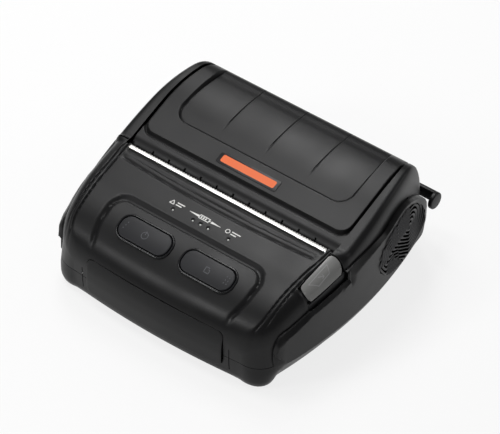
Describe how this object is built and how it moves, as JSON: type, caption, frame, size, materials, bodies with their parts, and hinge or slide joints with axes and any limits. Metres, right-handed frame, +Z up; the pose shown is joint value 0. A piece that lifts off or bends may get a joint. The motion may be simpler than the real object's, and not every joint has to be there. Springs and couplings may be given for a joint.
{
  "type": "portable label printer",
  "caption": "Portable label printer in charcoal plastic, with an opening top cover, paper slot and tear bar, two push buttons, release button and front battery.",
  "frame": {"origin": "centre of the bounding box at the height of the table it stands on", "axes": "+Z up, +Y from the battery panel at the front towards the strap lugs at the back, +X to the side with the release button"},
  "size_m": [0.1472, 0.1443, 0.0623],
  "materials": {
    "case_plastic": "fine textured",
    "inner_plastic": "plain",
    "cutter_steel": "bright, nearly white",
    "frame_steel": "satin",
    "head_ceramic": "glazed strip",
    "heatsink_alloy": "satin",
    "spring_steel": "bright wire",
    "ribbon_film": "amber film",
    "motor_case": "satin grey",
    "pinion_brass": "machined",
    "gear_plastic": "natural white",
    "roller_rubber": "ground",
    "bush_brass": "sintered",
    "badge_plastic": "dark plate with a plain orange bar",
    "button_body": "dark",
    "button_face": "silver grey, slightly clear",
    "key_plastic": "dark grey keys",
    "rim_plastic": "glossy black",
    "board_laminate": "green solder mask",
    "switch_metal": "stamped",
    "lens_clear": "clear light pipe",
    "black_plastic": "moulded black",
    "contact_gold": "gold plated",
    "flap_rubber": "soft",
    "foot_rubber": "soft",
    "screw_steel": "zinc plated"
  },
  "bodies": {
    "case": {"lower_case": "case_plastic", "upper_case": "case_plastic", "guard_right": "case_plastic", "guard_left": "case_plastic", "media_tub": "inner_plastic", "tear_bar": "cutter_steel", "print_frame": "frame_steel", "gear_bracket": "frame_steel", "print_head": "head_ceramic", "head_heatsink": "heatsink_alloy", "head_springs": "spring_steel", "head_ribbon": "ribbon_film", "motor": "motor_case", "hinge_pins": "frame_steel", "cover_spring": "spring_steel", "release_spring": "spring_steel", "button_rims": "rim_plastic", "control_board": "board_laminate", "key_switches": "switch_metal", "lamp_lenses": "lens_clear", "main_board": "board_laminate", "radio_module": "switch_metal", "buzzer": "black_plastic", "battery_bay": "inner_plastic", "battery_contacts": "contact_gold", "dc_jack": "inner_plastic", "usb_port": "switch_metal", "media_sensor": "black_plastic", "strap_lug_right": "case_plastic", "strap_lug_left": "case_plastic", "feet": "foot_rubber", "case_screws": "screw_steel"},
    "cover": {"cover_shell": "case_plastic", "cover_frame": "inner_plastic", "platen_bushes": "bush_brass", "badge_plate": "badge_plastic"},
    "platen": {"platen_shaft": "frame_steel", "platen_roller": "roller_rubber", "platen_gear": "gear_plastic"},
    "idler": {"idler_gear": "gear_plastic"},
    "pinion": {"motor_pinion": "pinion_brass"},
    "release": {"release_button": "button_body", "release_face": "button_face"},
    "latch": {"latch_bar": "frame_steel"},
    "power_key": {"power_button": "key_plastic"},
    "feed_key": {"feed_button": "key_plastic"},
    "battery": {"battery_pack": "black_plastic", "battery_panel": "case_plastic"},
    "guide_r": {"guide_right": "inner_plastic"},
    "guide_l": {"guide_left": "inner_plastic"},
    "guide_gear": {"guide_pinion": "gear_plastic"},
    "flap": {"port_cover": "flap_rubber"}
  },
  "joints": [
    {"name": "cover_hinge", "type": "hinge", "parent": "case", "child": "cover", "pos_m": [0, 0.057, 0.0425], "axis": [-1, 0, 0], "range_deg": [0, 90]},
    {"name": "platen_turn", "type": "hinge", "parent": "cover", "child": "platen", "pos_m": [0, -0.007, 0.0412], "axis": [1, 0, 0], "continuous": true},
    {"name": "idler_turn", "type": "hinge", "parent": "case", "child": "idler", "pos_m": [-0.061, -0.01857, 0.03125], "axis": [1, 0, 0], "continuous": true},
    {"name": "pinion_turn", "type": "hinge", "parent": "case", "child": "pinion", "pos_m": [-0.061, -0.03168, 0.02742], "axis": [1, 0, 0], "continuous": true},
    {"name": "release_press", "type": "slide", "parent": "case", "child": "release", "axis": [0, 0, -1], "range_m": [0, 0.0025], "stiffness_N_per_m": 600, "springref_m": -0.002, "deforming": ["release_spring"]},
    {"name": "latch_turn", "type": "hinge", "parent": "case", "child": "latch", "pos_m": [0, -0.0145, 0.028], "axis": [1, 0, 0], "range_deg": [0, 13.5]},
    {"name": "power_press", "type": "slide", "parent": "case", "child": "power_key", "axis": [0, 0.4188, -0.9081], "range_m": [0, 0.0007], "stiffness_N_per_m": 900, "springref_m": -0.0007},
    {"name": "feed_press", "type": "slide", "parent": "case", "child": "feed_key", "axis": [0, 0.4188, -0.9081], "range_m": [0, 0.0007], "stiffness_N_per_m": 900, "springref_m": -0.0007},
    {"name": "battery_slide", "type": "slide", "parent": "case", "child": "battery", "axis": [0, -1, 0], "range_m": [0, 0.045]},
    {"name": "guide_right_slide", "type": "slide", "parent": "case", "child": "guide_r", "axis": [-1, 0, 0], "range_m": [0, 0.027]},
    {"name": "guide_left_slide", "type": "slide", "parent": "case", "child": "guide_l", "axis": [1, 0, 0], "range_m": [0, 0.027]},
    {"name": "guide_gear_turn", "type": "hinge", "parent": "case", "child": "guide_gear", "pos_m": [0, 0.001, 0.005], "axis": [0, 0, -1], "range_deg": [0, 312]},
    {"name": "flap_hinge", "type": "hinge", "parent": "case", "child": "flap", "pos_m": [-0.0729, -0.0027, 0.0136], "axis": [0, -1, 0], "range_deg": [0, 110]}
  ],
  "couplings": [
    {"joint": "idler_turn", "follows": "platen_turn", "ratio": -0.58333},
    {"joint": "pinion_turn", "follows": "platen_turn", "ratio": 1.4},
    {"joint": "latch_turn", "follows": "release_press", "rad_per_m": 90.9},
    {"joint": "guide_left_slide", "follows": "guide_right_slide", "ratio": 1},
    {"joint": "guide_gear_turn", "follows": "guide_right_slide", "rad_per_m": 200}
  ]
}
